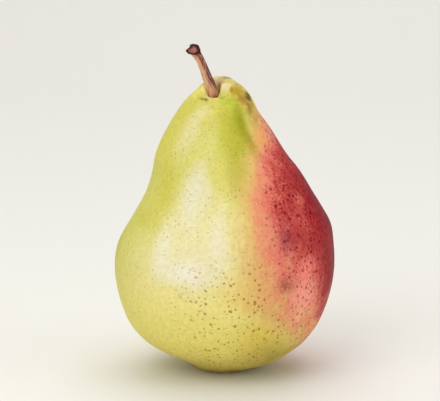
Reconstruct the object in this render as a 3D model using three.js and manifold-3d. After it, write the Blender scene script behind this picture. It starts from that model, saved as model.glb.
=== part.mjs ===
// A ripe pear at its real size, in millimetres with +Z up. It stands on the rim round its eye, and
// the origin is on that surface, under the middle of the widest ring. The blushed cheek is on the
// +X side, the stem leans towards -X, and the lowest part of the top rim looks towards -Y.
//
// The pear is three solids. The fruit is one piece of flesh and skin, with a hollow for the stem on
// top and a basin for the calyx underneath. The woody stem and the dried calyx each stand with a
// short root in a plain hole in the flesh, and a small gap keeps the solids apart.

import * as THREE from "three";
import { mergeVertices } from "three/addons/utils/BufferGeometryUtils.js";
import Module from "manifold-3d";

const wasm = await Module();
wasm.setup();

// Driving dimensions of the fruit. A ring is its height, its left and right edges along X, and half
// its depth from front to back.
const SKIN_RINGS = [
  [0, -9.5, 8.1, 8.6],
  [4.3, -15.9, 19.3, 17.4],
  [7.5, -21.7, 23.7, 22.7],
  [10.0, -26.1, 26.9, 26.3],
  [15.0, -31.2, 31.2, 30.6],
  [20.5, -34.0, 33.8, 33.1],
  [28.0, -36.1, 36.0, 35.1],
  [36.0, -36.8, 36.8, 35.6],
  [43.0, -35.6, 36.3, 34.8],
  [49.0, -32.1, 35.7, 32.9],
  [55.0, -28.7, 32.3, 30.2],
  [61.0, -25.6, 28.5, 27.0],
  [67.0, -23.8, 24.9, 24.1],
  [73.0, -22.8, 20.1, 21.3],
  [78.5, -20.4, 16.7, 18.7],
  [83.0, -17.8, 13.4, 16.2],
  [86.2, -15.8, 10.8, 14.1],
  [89.1, -13.5, 9.8, 12.1],
  [92.0, -11.1, 7.6, 9.7],
  [94.5, -8.9, 4.5, 7.5],
  [95.8, -7.6, 2.7, 6.0],
  [95.4, -7.2, 1.6, 5.2],
  [93.7, -7.0, 0.2, 4.2],
  [91.6, -6.5, -0.9, 3.0],
];
const RINGS_PER_STEP = 2; // rings drawn for each step between two of the rings above
const FRUIT_SIDES = 64;

// The neck leans a little to the front, and its top is tilted so that the front rim is the lowest.
const NECK_LEAN = 1.6;
const NECK_LEAN_FROM = 40;
const NECK_LEAN_TO = 96;
const TOP_TILT = 0.33; // rise of the top for each millimetre towards the back
const TOP_TILT_FROM = 68;
const TOP_TILT_TO = 94;
const RIM_TILT = 0.13; // rise of the rim alone for each millimetre towards the right
const NOTCH_DEPTH = 1.9; // the dip of the rim in front of the stem
const NOTCH_ANGLE = -1.69;
const NOTCH_WIDTH_LEFT = 0.8;
const NOTCH_WIDTH_RIGHT = 1.1;
const RIM_FROM = 89;
const RIM_TO = 95;

// Inside the rim the flesh swells up to the stem in two folds, one on the right and one on the left.
// A fold is its angle round the stem, its width in radians and how high it lifts the innermost ring.
const FOLDS = [
  [-0.2, 0.75, 4.5],
  [3.3, 1.0, 4.0],
];

// Five shallow lobes and a slight skew keep the rings from being true circles.
const LOBE_COUNT = 5;
const LOBE_SHARE = 0.008;
const SKEW_SHARE = 0.01;
const LOBES_FROM = 3;
const LOBES_TO = 20;

// The basin under the fruit, and the flat rim round it that the pear rests on.
const EYE_X = -1.0;
const RIM_INNER_RADIUS = 6.9;
const BASIN_RADII = [
  [4.4, 3.3],
  [4.0, 4.1],
  [2.8, 5.0],
  [1.2, 6.1],
];
const CALYX_HOLE_RADIUS = 3.3;
const CALYX_HOLE_TOP = 6.4;

// The stem: points of its middle line with the radius there. Its root goes down into the hole.
const STEM_HOLE_X = -3.9;
const STEM_HOLE_Y = -1.8;
const STEM_HOLE_RADIUS = 2.4;
const STEM_HOLE_MOUTH = 90.2;
const STEM_HOLE_FLOOR = 84.0;
const STEM_LINE = [
  [-3.9, -1.8, 85.0, 1.8],
  [-3.9, -1.8, 89.8, 1.95],
  [-3.9, -1.85, 91.6, 2.0],
  [-4.0, -1.9, 93.0, 2.0],
  [-4.4, -2.1, 95.0, 1.77],
  [-5.75, -2.4, 98.3, 1.55],
  [-6.9, -2.6, 101.5, 1.43],
  [-8.1, -2.9, 104.2, 1.37],
  [-9.2, -3.1, 106.0, 1.5],
  [-9.7, -3.3, 107.5, 1.77],
];
const STEM_SIDES = 16;
const STEM_STEPS = 32;
const RIDGE_COUNT = 5;
const RIDGE_SHARE = 0.05;
const CUT_SLOPE = 0.57; // how far the cut end is slanted, along the stem for each millimetre across
const CUT_ANGLE = 5.1; // the low side of the cut, round the stem: 0 is right and a quarter turn is back
const CUT_LENGTH = 0.12; // share of the stem over which the slant builds up
// The cut end has two lips. A lip is its angle round the stem and how much wider the stem is there.
const LIPS = [
  [3.75, 0.8],
  [1.6, 0.35],
];
const LIP_SHARPNESS = 3; // power that narrows a lip
const LIP_LENGTH = 0.07;

// The calyx: a small disc with five dried sepals, and dried stamens in a ring.
const DISC_RADII = [
  [6.0, 2.6],
  [5.6, 2.95],
  [4.5, 2.95],
  [3.9, 2.5],
  [3.7, 1.4],
];
const DISC_SIDES = 20;
const SEPAL_COUNT = 5;
const SEPAL_LINE = [
  [1.5, 4.8, 1.35],
  [2.7, 4.0, 1.6],
  [3.75, 3.05, 1.45],
  [4.6, 2.1, 0.95],
  [5.2, 1.2, 0.4],
];
const SEPAL_HALF_THICKNESS = 0.36;
const SEPAL_SIDES = 8;
const SEPAL_STEPS = 7;
const SEPAL_TURN = 0.12; // the most that a sepal stands off its even place, in radians
const STAMEN_COUNT = 9;
const STAMEN_LINE = [
  [1.5, 4.6, 0.36],
  [1.6, 3.0, 0.32],
  [1.3, 1.9, 0.3],
];
const STAMEN_SIDES = 6;
const STAMEN_STEPS = 4;
const STAMEN_REACH = 0.7; // the most that a stamen falls short of its full length, in millimetres
const SEED = 7;

const smoothstep = THREE.MathUtils.smoothstep;

// Random numbers from 0 to 1, the same on each run.
function randomNumbers(seed) {
  let state = seed;
  return () => {
    state = (state * 48271) % 2147483647;
    return state / 2147483647;
  };
}

// The solid inside a skin drawn over a stack of rings. place gives the point of a ring at an angle,
// and the first and last rings are single points, so that the skin is closed.
function skinOver(rings, sides, place) {
  const outline = rings.map((_, n) => new THREE.Vector2(1, n));
  const geometry = new THREE.LatheGeometry(outline, sides);
  const position = geometry.getAttribute("position");
  for (let n = 0; n < position.count; n += 1) {
    const side = Math.floor(n / rings.length) % sides;
    const point = place(rings[n % rings.length], (2 * Math.PI * side) / sides);
    position.setXYZ(n, point.x, point.y, point.z);
  }
  geometry.deleteAttribute("normal");
  geometry.deleteAttribute("uv");
  const merged = mergeVertices(geometry, 1e-4);
  return new wasm.Manifold(
    new wasm.Mesh({
      numProp: 3,
      vertProperties: merged.getAttribute("position").array,
      triVerts: new Uint32Array(merged.index.array),
    }),
  );
}

// A named mesh of a solid, with flat-shaded faces.
function meshOf(solid, name, material) {
  const { vertProperties, triVerts } = solid.getMesh();
  const geometry = new THREE.BufferGeometry();
  geometry.setAttribute("position", new THREE.BufferAttribute(vertProperties, 3));
  geometry.setIndex(new THREE.BufferAttribute(triVerts, 1));
  geometry.computeVertexNormals();
  const mesh = new THREE.Mesh(geometry, material);
  mesh.name = name;
  return mesh;
}

// A round ring of a hole or basin, and the point that closes it.
const roundRing = (x, y, height, radius) => ({
  height,
  left: x - radius,
  right: x + radius,
  y,
  halfDepth: radius,
  inside: 0,
});
const endPoint = (x, y, height) => roundRing(x, y, height, 0);

// The rings of the fruit, from the middle of the calyx hole, round the outside and over the top
// rim, to the middle of the stem hole.
function fruitRings() {
  const edges = SKIN_RINGS.map(([height, left, right]) => new THREE.Vector3(left, right, height));
  const depths = SKIN_RINGS.map(([, , , depth], n) => new THREE.Vector2(n, depth));
  const edgeCurve = new THREE.CatmullRomCurve3(edges, false, "centripetal");
  const depthCurve = new THREE.SplineCurve(depths);
  const count = RINGS_PER_STEP * (edges.length - 1);
  const line = edgeCurve.getPoints(count);
  const crest = line.reduce((highest, { z }, n) => (z > line[highest].z ? n : highest), 0);
  const drop = line[crest].z - line[count].z;
  const skin = line.map(({ x, y, z }, n) => ({
    height: z,
    left: x,
    right: y,
    y: -neckLean(z),
    halfDepth: depthCurve.getPoint(n / count).y,
    inside: n > crest ? (line[crest].z - z) / drop : 0,
  }));
  return [
    endPoint(EYE_X, 0, CALYX_HOLE_TOP),
    roundRing(EYE_X, 0, CALYX_HOLE_TOP, CALYX_HOLE_RADIUS),
    ...BASIN_RADII.map(([height, radius]) => roundRing(EYE_X, 0, height, radius)),
    roundRing(EYE_X, 0, 0, RIM_INNER_RADIUS),
    ...skin,
    roundRing(STEM_HOLE_X, STEM_HOLE_Y, STEM_HOLE_MOUTH, STEM_HOLE_RADIUS),
    roundRing(STEM_HOLE_X, STEM_HOLE_Y, STEM_HOLE_FLOOR, STEM_HOLE_RADIUS),
    endPoint(STEM_HOLE_X, STEM_HOLE_Y, STEM_HOLE_FLOOR),
  ];
}

// How far in front of the origin the middle of a ring lies.
function neckLean(height) {
  return NECK_LEAN * smoothstep(height, NECK_LEAN_FROM, NECK_LEAN_TO);
}

// How far round the stem one angle is from another, from half a turn back to half a turn ahead.
function turnFrom(angle, start) {
  return Math.atan2(Math.sin(angle - start), Math.cos(angle - start));
}

// How far the folds lift a ring that lies inside the rim.
function foldLift(inside, angle) {
  const lifts = FOLDS.map(([at, width, lift]) => lift * Math.exp(-((turnFrom(angle, at) / width) ** 2)));
  return inside * lifts.reduce((sum, lift) => sum + lift, 0);
}

// A point of the fruit's surface: round the ring, then tilted, notched and folded near the top.
function fruitPoint({ height, left, right, y, halfDepth, inside }, angle) {
  const rim = smoothstep(height, RIM_FROM, RIM_TO);
  const lobes = smoothstep(height, LOBES_FROM, LOBES_TO) * (1 - rim);
  const uneven = 1 + lobes * (LOBE_SHARE * Math.sin(LOBE_COUNT * angle) + SKEW_SHARE * Math.sin(2 * angle));
  const across = ((right - left) / 2) * uneven * Math.cos(angle);
  const back = halfDepth * uneven * Math.sin(angle);
  const tilt = TOP_TILT * smoothstep(height, TOP_TILT_FROM, TOP_TILT_TO) * back;
  const fromNotch = turnFrom(angle, NOTCH_ANGLE);
  const notchWidth = fromNotch < 0 ? NOTCH_WIDTH_LEFT : NOTCH_WIDTH_RIGHT;
  const notch = NOTCH_DEPTH * Math.exp(-((fromNotch / notchWidth) ** 4));
  return new THREE.Vector3(
    (left + right) / 2 + across,
    y + back,
    height + tilt + rim * (RIM_TILT * across - notch) + foldLift(inside, angle),
  );
}

// Rings along a smooth line through points that are given with a half-width each. Every ring has
// its middle, its share of the way along, its half-width and two directions across the line.
function ringsAlong(line, steps) {
  const path = new THREE.CatmullRomCurve3(line.map(([x, y, z]) => new THREE.Vector3(x, y, z)));
  const widths = new THREE.SplineCurve(line.map(([, , , width], n) => new THREE.Vector2(n, width)));
  const middles = path.getPoints(steps);
  return middles.map((middle, n) => {
    const share = n / steps;
    const ahead = path.getTangent(share);
    const side = new THREE.Vector3(0, 1, 0).cross(ahead).normalize();
    const up = ahead.clone().cross(side);
    return { middle, share, ahead, side, up, width: widths.getPoint(share).y };
  });
}

// The rings with a single point added at each end.
function closed(rings) {
  const first = { ...rings[0], width: 0 };
  const last = { ...rings[rings.length - 1], width: 0 };
  return [first, ...rings, last];
}

// A point of the stem's surface: ridged along its length, and slanted and lipped at the cut end.
function stemPoint({ middle, share, ahead, side, up, width }, angle) {
  const cut = smoothstep(share, 1 - CUT_LENGTH, 1);
  const lips = LIPS.map(([at, wider]) => wider * Math.max(0, Math.cos(angle - at)) ** LIP_SHARPNESS);
  const lip = smoothstep(share, 1 - LIP_LENGTH, 1) * lips.reduce((sum, wider) => sum + wider, 0);
  const towardsCut = Math.cos(angle - CUT_ANGLE);
  const ridges = 1 + RIDGE_SHARE * Math.cos(RIDGE_COUNT * angle);
  const radius = width * ridges * (1 + lip);
  return middle
    .clone()
    .addScaledVector(side, radius * Math.cos(angle))
    .addScaledVector(up, radius * Math.sin(angle))
    .addScaledVector(ahead, -cut * CUT_SLOPE * radius * towardsCut);
}

// A flat blade or thread in the plane of its radius, turned to its place round the eye.
function calyxPiece(line, steps, sides, halfThickness, turn, shortBy) {
  const outwards = line.map(([radius, height, width]) => [radius, 0, height, width]);
  outwards[outwards.length - 1][2] += shortBy;
  const piece = skinOver(closed(ringsAlong(outwards, steps)), sides, ({ middle, side, up, width }, angle) =>
    middle
      .clone()
      .addScaledVector(side, (width > 0 ? halfThickness : 0) * Math.cos(angle))
      .addScaledVector(up, width * Math.sin(angle)),
  );
  return piece.rotate([0, 0, THREE.MathUtils.radToDeg(turn)]);
}

function fruit() {
  return skinOver(fruitRings(), FRUIT_SIDES, fruitPoint);
}

function stem() {
  return skinOver(closed(ringsAlong(STEM_LINE, STEM_STEPS)), STEM_SIDES, stemPoint);
}

function calyx() {
  const random = randomNumbers(SEED);
  const around = (count, n) => (2 * Math.PI * n) / count;
  const discRings = [
    endPoint(0, 0, DISC_RADII[0][0]),
    ...DISC_RADII.map(([height, radius]) => roundRing(0, 0, height, radius)),
    endPoint(0, 0, DISC_RADII[DISC_RADII.length - 1][0]),
  ];
  let solid = skinOver(discRings.reverse(), DISC_SIDES, ({ height, right }, angle) =>
    new THREE.Vector3(right * Math.cos(angle), right * Math.sin(angle), height),
  );
  for (let n = 0; n < SEPAL_COUNT; n += 1) {
    const turn = around(SEPAL_COUNT, n) + SEPAL_TURN * (2 * random() - 1);
    solid = solid.add(calyxPiece(SEPAL_LINE, SEPAL_STEPS, SEPAL_SIDES, SEPAL_HALF_THICKNESS, turn, 0));
  }
  for (let n = 0; n < STAMEN_COUNT; n += 1) {
    const shortBy = STAMEN_REACH * random();
    const halfThickness = STAMEN_LINE[0][2];
    const turn = around(STAMEN_COUNT, n + random() / 2);
    solid = solid.add(
      calyxPiece(STAMEN_LINE, STAMEN_STEPS, STAMEN_SIDES, halfThickness, turn, shortBy),
    );
  }
  return solid.translate([EYE_X, 0, 0]);
}

const skinFinish = new THREE.MeshStandardMaterial({ color: 0xcfd06a, roughness: 0.42, metalness: 0 });
const stemFinish = new THREE.MeshStandardMaterial({ color: 0x8a5a3c, roughness: 0.75, metalness: 0 });
const calyxFinish = new THREE.MeshStandardMaterial({ color: 0x4a3423, roughness: 0.9, metalness: 0 });

const pear = new THREE.Group();
pear.add(meshOf(fruit(), "fruit", skinFinish));
pear.add(meshOf(stem(), "stem", stemFinish));
pear.add(meshOf(calyx(), "calyx", calyxFinish));

export default pear;
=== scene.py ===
# %% [markdown]
# A ripe pear, standing on pale paper in soft light.
#
# The solids of the pear come in from its construction model: the fruit, the stem and the dried calyx.
# They are right in shape and size, but their faces are flat and their surfaces are plain. This lesson
# redraws each of them with a finer mesh on the same measurements, and then gives each its finish.
#
# All lengths below are in millimetres unless a name says otherwise, because a pear is easier to think
# about in millimetres. They are turned into Blender's metres when a mesh is made.

# %% Load the solids
import math

import bpy
import numpy as np
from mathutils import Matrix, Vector
from mathutils import noise as soft_noise


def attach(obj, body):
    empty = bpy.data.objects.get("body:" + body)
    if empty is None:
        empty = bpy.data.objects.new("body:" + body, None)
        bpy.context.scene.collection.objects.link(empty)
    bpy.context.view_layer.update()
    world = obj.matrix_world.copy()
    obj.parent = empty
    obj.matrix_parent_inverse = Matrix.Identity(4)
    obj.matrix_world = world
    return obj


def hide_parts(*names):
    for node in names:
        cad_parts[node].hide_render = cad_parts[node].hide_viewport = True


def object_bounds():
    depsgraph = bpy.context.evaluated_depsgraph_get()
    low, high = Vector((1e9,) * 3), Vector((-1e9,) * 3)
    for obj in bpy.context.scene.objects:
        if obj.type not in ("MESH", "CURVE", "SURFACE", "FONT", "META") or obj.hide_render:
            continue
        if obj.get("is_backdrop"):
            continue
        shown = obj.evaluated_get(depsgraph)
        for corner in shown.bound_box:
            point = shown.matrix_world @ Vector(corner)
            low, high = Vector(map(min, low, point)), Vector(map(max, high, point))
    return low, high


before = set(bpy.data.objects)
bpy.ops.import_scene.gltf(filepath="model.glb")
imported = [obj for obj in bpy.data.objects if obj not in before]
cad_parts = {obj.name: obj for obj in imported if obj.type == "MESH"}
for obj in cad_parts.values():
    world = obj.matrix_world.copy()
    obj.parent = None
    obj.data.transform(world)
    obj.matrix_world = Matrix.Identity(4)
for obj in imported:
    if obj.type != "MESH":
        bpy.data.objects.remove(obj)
cad_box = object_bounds()
MM = 0.001
print("solids:", ", ".join(sorted(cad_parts)))

# %% [markdown]
# The camera comes first, since every later choice is judged through it. The pear is seen a little
# from above, with its upright edges free of perspective. A long lens from about half a metre away
# gives that. The camera is aimed at a point on the pear's middle plane, and it isn't shifted.


# %% Place the camera
def add_object(name, data):
    """A new object in the scene that holds a camera, a light or a mesh."""
    item = bpy.data.objects.new(name, data)
    bpy.context.scene.collection.objects.link(item)
    return item


LENS = 135
SENSOR = 36
PICTURE_WIDTH = 146.1
CAMERA_ELEVATION = math.radians(10)
AIM = Vector((-1.5, 0, 56.9)) * MM

camera_distance = PICTURE_WIDTH * LENS / SENSOR * MM
camera_data = bpy.data.cameras.new("portrait_camera")
camera_data.lens = LENS
camera_data.sensor_width = SENSOR
camera = add_object("portrait_camera", camera_data)
towards_camera = Vector((0, -math.cos(CAMERA_ELEVATION), math.sin(CAMERA_ELEVATION)))
camera.location = AIM + camera_distance * towards_camera
camera.rotation_euler = (math.pi / 2 - CAMERA_ELEVATION, 0, 0)
bpy.context.scene.camera = camera
print(f"camera {camera_distance * 1000:.0f} mm from the pear")

# %% [markdown]
# Soft light keeps a fruit's colours readable. A big softbox high on the left, in front of the pear,
# gives the broad pale sheen on its shoulder and belly. One on the right, nearly level with the pear,
# keeps the blushed cheek from going black. A wide one overhead and another from behind lighten the
# paper and the top of the fruit, and a dim even sky fills what is left. The plain view transform
# shows colours as they are mixed, with no film curve over them.

# %% Light the pear
LIGHTS_MEET = Vector((0, 0, 50)) * MM
SKY_COLOUR = (1.0, 0.985, 0.96, 1)
SKY_STRENGTH = 0.48


def softbox(name, azimuth, elevation, distance, size, watts):
    """A square light that points at the middle of the pear. Azimuth 0 is in front, and 90 is right."""
    light = bpy.data.lights.new(name, "AREA")
    light.size = size * MM
    light.energy = watts
    lamp = add_object(name, light)
    turn, rise = math.radians(azimuth), math.radians(elevation)
    away = Vector((math.sin(turn) * math.cos(rise), -math.cos(turn) * math.cos(rise), math.sin(rise)))
    lamp.location = LIGHTS_MEET + away * distance * MM
    lamp.rotation_euler = away.to_track_quat("Z", "Y").to_euler()


softbox("window_light", azimuth=-34, elevation=34, distance=900, size=620, watts=3.0)
softbox("right_fill", azimuth=74, elevation=10, distance=1000, size=700, watts=2.6)
softbox("overhead_light", azimuth=0, elevation=86, distance=1200, size=1500, watts=6.8)
softbox("paper_wash", azimuth=176, elevation=52, distance=1500, size=1400, watts=7.6)

world = bpy.data.worlds.new("even_sky")
world.use_nodes = True
sky = world.node_tree.nodes["Background"].inputs
sky["Color"].default_value = SKY_COLOUR
sky["Strength"].default_value = SKY_STRENGTH
bpy.context.scene.world = world
bpy.context.scene.view_settings.view_transform = "Standard"

# %% [markdown]
# Each surface of this pear is a stack of rings: the fruit, the stem, and even each dried sepal. So
# one helper makes every mesh. It takes a grid of points, ring by ring, joins neighbours with quads,
# and closes each end with triangles round the middle of its last ring. Rings and sides then stay
# even all over the surface, which a sculpted or remeshed surface wouldn't give.


# %% Make meshes from rings
def ring_faces(ring_count, sides, first):
    """Faces between rings of points that are numbered from first, with an end point at each end."""
    start, end = first, first + 1 + ring_count * sides
    faces = []
    for side in range(sides):
        beside = (side + 1) % sides
        faces.append((start, first + 1 + beside, first + 1 + side))
        last = first + 1 + (ring_count - 1) * sides
        faces.append((last + side, last + beside, end))
    for ring in range(ring_count - 1):
        low = first + 1 + ring * sides
        for side in range(sides):
            beside = (side + 1) % sides
            faces.append((low + side, low + beside, low + sides + beside, low + sides + side))
    return faces


def smooth_object(name, points, faces):
    """One smooth mesh object from points in millimetres, and its faces."""
    mesh = bpy.data.meshes.new(name)
    mesh.from_pydata([tuple(value * MM for value in point) for point in points], [], faces)
    mesh.shade_smooth()
    return add_object(name, mesh)


def piece_from_rings(name, stacks):
    """One object from one or more stacks of rings."""
    points, faces = [], []
    for rings in stacks:
        ring_count, sides, _ = rings.shape
        faces += ring_faces(ring_count, sides, len(points))
        points += [rings[0].mean(axis=0), *rings.reshape(-1, 3), rings[-1].mean(axis=0)]
    print(f"{name}: {len(points)} points, {sum(len(face) - 2 for face in faces)} triangles")
    return smooth_object(name, points, faces)


# %% [markdown]
# The rings themselves come from a few measured ones. A smooth line through the measurements gives
# all the rings between them. This kind of line, a centripetal one, has no loops where two
# measurements lie close together, which is the case round the rim of the stem's hollow.


# %% Draw smooth lines through measurements
def smooth_line(measured, steps):
    """Points of a smooth line through all the measured points, with so many steps between two."""
    measured = np.array(measured, float)
    before, after = 2 * measured[0] - measured[1], 2 * measured[-1] - measured[-2]
    spread = np.vstack([before, measured, after])
    line = []
    for a, b, c, d in zip(spread, spread[1:], spread[2:], spread[3:]):
        at_b = math.dist(a, b) ** 0.5
        at_c = at_b + math.dist(b, c) ** 0.5
        at_d = at_c + math.dist(c, d) ** 0.5
        for t in np.linspace(at_b, at_c, steps, endpoint=False):
            ab = ((at_b - t) * a + t * b) / at_b
            bc = ((at_c - t) * b + (t - at_b) * c) / (at_c - at_b)
            cd = ((at_d - t) * c + (t - at_c) * d) / (at_d - at_c)
            abc = ((at_c - t) * ab + t * bc) / at_c
            bcd = ((at_d - t) * bc + (t - at_b) * cd) / (at_d - at_b)
            line.append(((at_c - t) * abc + (t - at_b) * bcd) / (at_c - at_b))
    line.append(measured[-1])
    return np.array(line)


def evenly_spaced(line, spacing):
    """The same line with its points about so far apart."""
    lengths = np.concatenate([[0], np.cumsum(np.linalg.norm(np.diff(line, axis=0), axis=1))])
    places = np.linspace(0, lengths[-1], max(2, round(lengths[-1] / spacing)))
    return np.column_stack([np.interp(places, lengths, column) for column in line.T])


def ease(value, start, end):
    """0 before start, 1 after end, and a smooth rise between."""
    share = np.clip((value - start) / (end - start), 0, 1)
    return share * share * (3 - 2 * share)


# %% [markdown]
# The fruit is one piece of flesh and skin. Its outline isn't the same left and right: the left
# shoulder is hollow and the right one is full. So a ring is measured by its left edge, its right
# edge and half its depth, and not by one radius. The line is smoothed a little more where the skin
# is broad, because even a slight kink shows up there as a band in the sheen.

# %% Measure the fruit's rings
SKIN_RINGS = [  # height, left edge, right edge, half the depth
    (0, -9.5, 8.1, 8.6),
    (4.3, -15.9, 19.3, 17.4),
    (7.5, -21.7, 23.7, 22.7),
    (10.0, -26.1, 26.9, 26.3),
    (15.0, -31.2, 31.2, 30.6),
    (20.5, -34.0, 33.8, 33.1),
    (28.0, -36.1, 36.0, 35.1),
    (36.0, -36.8, 36.8, 35.6),
    (43.0, -35.6, 36.3, 34.8),
    (49.0, -32.1, 35.7, 32.9),
    (55.0, -28.7, 32.3, 30.2),
    (61.0, -25.6, 28.5, 27.0),
    (67.0, -23.8, 24.9, 24.1),
    (73.0, -22.8, 20.1, 21.3),
    (78.5, -20.4, 16.7, 18.7),
    (83.0, -17.8, 13.4, 16.2),
    (86.2, -15.8, 10.8, 14.1),
    (89.1, -13.5, 9.8, 12.1),
    (92.0, -11.1, 7.6, 9.7),
    (94.5, -8.9, 4.5, 7.5),
    (95.8, -7.6, 2.7, 6.0),
    (95.4, -7.2, 1.6, 5.2),
    (93.7, -7.0, 0.2, 4.2),
    (91.6, -6.5, -0.9, 3.0),
]
RING_SPACING = 0.62
SMOOTHING_PASSES = 40
BROAD_FROM = (5, 14)  # the skin starts to be broad between these heights
BROAD_TO = (86, 93)  # and it stops between these

skin_line = evenly_spaced(smooth_line(SKIN_RINGS, steps=16), RING_SPACING)
broad = ease(skin_line[:, 0], *BROAD_FROM) * (1 - ease(skin_line[:, 0], *BROAD_TO))
for _ in range(SMOOTHING_PASSES):
    between = (skin_line[:-2] + skin_line[2:]) / 2
    skin_line[1:-1] += broad[1:-1, None] * (between - skin_line[1:-1]) / 2
print("rings of skin:", len(skin_line))

# %% [markdown]
# Two plain holes complete the stack. The stem stands in one, and the dried calyx in the other, at
# the bottom of a small basin. The flat rim round that basin is what the pear stands on. A ring of
# the stack is now its height, the middle of the ring, half its width and half its depth.

# %% Stack all the rings of the fruit
NECK_LEAN = 1.6
LEAN_HEIGHTS = (40, 96)
EYE_X = -1.0
STEM_HOLE = (-3.9, -1.8)
BASIN = [(6.4, 3.3), (4.4, 3.3), (4.0, 4.1), (2.8, 5.0), (1.2, 6.1), (0, 6.9)]  # height, radius
STEM_HOLE_RINGS = [(90.2, 2.4), (84.0, 2.4)]


def fill_in(rings, spacing):
    """Round rings, closer together, with sharp corners kept where the measured ones are."""
    parts = [evenly_spaced(np.array(pair, float), spacing)[:-1] for pair in zip(rings, rings[1:])]
    return np.vstack([*parts, rings[-1]])


def round_rings(rings, x, y):
    """Stack rows for round rings, each given by its height and radius."""
    rings = np.array(rings, float)
    middle = np.ones(len(rings))
    return np.column_stack([rings[:, 0], x * middle, y * middle, rings[:, 1], rings[:, 1]])


height, left, right, depth = skin_line.T
lean = -NECK_LEAN * ease(height, *LEAN_HEIGHTS)
skin_rows = np.column_stack([height, (left + right) / 2, lean, (right - left) / 2, depth])
basin_rows = round_rings(fill_in(BASIN, spacing=0.5), EYE_X, 0)
hole_rows = round_rings(fill_in(STEM_HOLE_RINGS, spacing=1.2), *STEM_HOLE)
stack = np.vstack([basin_rows, skin_rows, hole_rows])
print("rings in all:", len(stack))

# %% [markdown]
# A real pear isn't turned on a lathe. Five shallow lobes run down it, its top is tilted so that the
# front rim is the lowest, and the rim dips in front of the stem. Inside the rim the flesh swells up
# to the stem in a fold on the right and another on the left, which leaves the hollow deepest behind
# the stem. These are the same as in the solids.

# %% Shape the fruit
FRUIT_SIDES = 320
LOBE_COUNT = 5
LOBE_SHARE = 0.008  # of the ring's width, as the next one is
SKEW_SHARE = 0.010
LOBES_START = (3, 20)
TOP_TILT = 0.33  # millimetres up for each millimetre back
TILT_HEIGHTS = (68, 94)
RIM_TILT = 0.13  # millimetres up for each millimetre to the right
RIM_HEIGHTS = (89, 95)
NOTCH_ANGLE = -1.69
NOTCH_DEPTH = 1.9
NOTCH_WIDTHS = (0.8, 1.1)  # to the left and to the right of its middle, in radians
FOLDS = [(-0.2, 0.75, 4.5), (3.3, 1.0, 4.0)]  # angle, width in radians, lift of the innermost ring


def angles_round(sides):
    """The angle of each side of a ring, in radians."""
    return np.linspace(0, 2 * np.pi, sides, endpoint=False)[None, :]


def turn_from(angle, start):
    """How far round one angle is from another, from half a turn back to half a turn ahead."""
    return np.arctan2(np.sin(angle - start), np.cos(angle - start))


angles = angles_round(FRUIT_SIDES)
height, middle_x, middle_y, half_width, half_depth = (column[:, None] for column in stack.T)
rim = ease(height, *RIM_HEIGHTS)
lobed = ease(height, *LOBES_START) * (1 - rim)
uneven = 1 + lobed * (LOBE_SHARE * np.sin(LOBE_COUNT * angles) + SKEW_SHARE * np.sin(2 * angles))
across = half_width * uneven * np.cos(angles)
back = half_depth * uneven * np.sin(angles)
tilt = TOP_TILT * ease(height, *TILT_HEIGHTS) * back
from_notch = turn_from(angles, NOTCH_ANGLE)
notch_width = np.where(from_notch < 0, *NOTCH_WIDTHS)
notch = NOTCH_DEPTH * np.exp(-((from_notch / notch_width) ** 4))
crest = int(np.argmax(skin_line[:, 0]))
inside = np.zeros(len(stack))
first = len(basin_rows)
inside[first + crest:first + len(skin_line)] = skin_line[crest, 0] - skin_line[crest:, 0]
inside = inside[:, None] / inside.max()
lift = sum(rise * np.exp(-((turn_from(angles, at) / width) ** 2)) for at, width, rise in FOLDS)
top_form = tilt + rim * (RIM_TILT * across - notch) + inside * lift
fruit_points = np.stack([middle_x + across, middle_y + back, height + top_form], axis=2)
print("fruit grid:", fruit_points.shape)

# %% [markdown]
# The finer mesh adds what the solids are too coarse for, pushed in or out along the surface. A pucker
# is a dent that comes and goes round the basin, deepest at the basin's edge. A crease is a dent along
# a short line in front of the stem. A slow unevenness of a fraction of a millimetre goes all over.
# All of them leave the flat rim alone, so that the pear still stands as it should.

# %% Add the small forms
SWELLS = [(0.16, 14, 1), (0.04, 4, 2)]  # height, size and seed of an unevenness
SWELLS_START = (1.5, 8)
SWELLS_END = (93, 96)
PUCKERS = [(5, 0.6, 0.35, 2), (13, 0, 0.10, 1)]  # count, turn in radians, depth, sharpness
PUCKERS_START = (8.8, 11)  # distances from the middle of the basin
PUCKERS_END = (11, 20)
PUCKERS_BELOW = 12
CREASE_FROM = np.array([-9.2, 91.9])
CREASE_TO = np.array([-5.9, 91.2])
CREASE_WIDTH = 0.5
CREASE_DEPTH = 0.7
CREASE_ABOVE = 86


def outward(points):
    """The direction straight out of the surface at each point of a grid of rings."""
    round_ring = np.roll(points, -1, axis=1) - np.roll(points, 1, axis=1)
    along = np.gradient(points, axis=0)
    normal = np.cross(round_ring, along)
    return normal / np.maximum(np.linalg.norm(normal, axis=2, keepdims=True), 1e-9)


def gentle_noise(points, size, seed):
    """Smooth noise from -1 to 1 at each point, with lumps of about the given size."""
    shift = Vector((seed * 7.3, seed * 3.1, seed * 5.7))
    flat = [soft_noise.noise(Vector(point) / size + shift) for point in points.reshape(-1, 3)]
    return np.array(flat).reshape(points.shape[:2])


def distance_to_line(points, start, end):
    """How far each point lies from a short line, both seen from the front."""
    seen = points[:, :, [0, 2]]
    run = end - start
    share = np.clip(((seen - start) @ run) / (run @ run), 0, 1)
    return np.linalg.norm(seen - (start + share[..., None] * run), axis=2)


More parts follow.
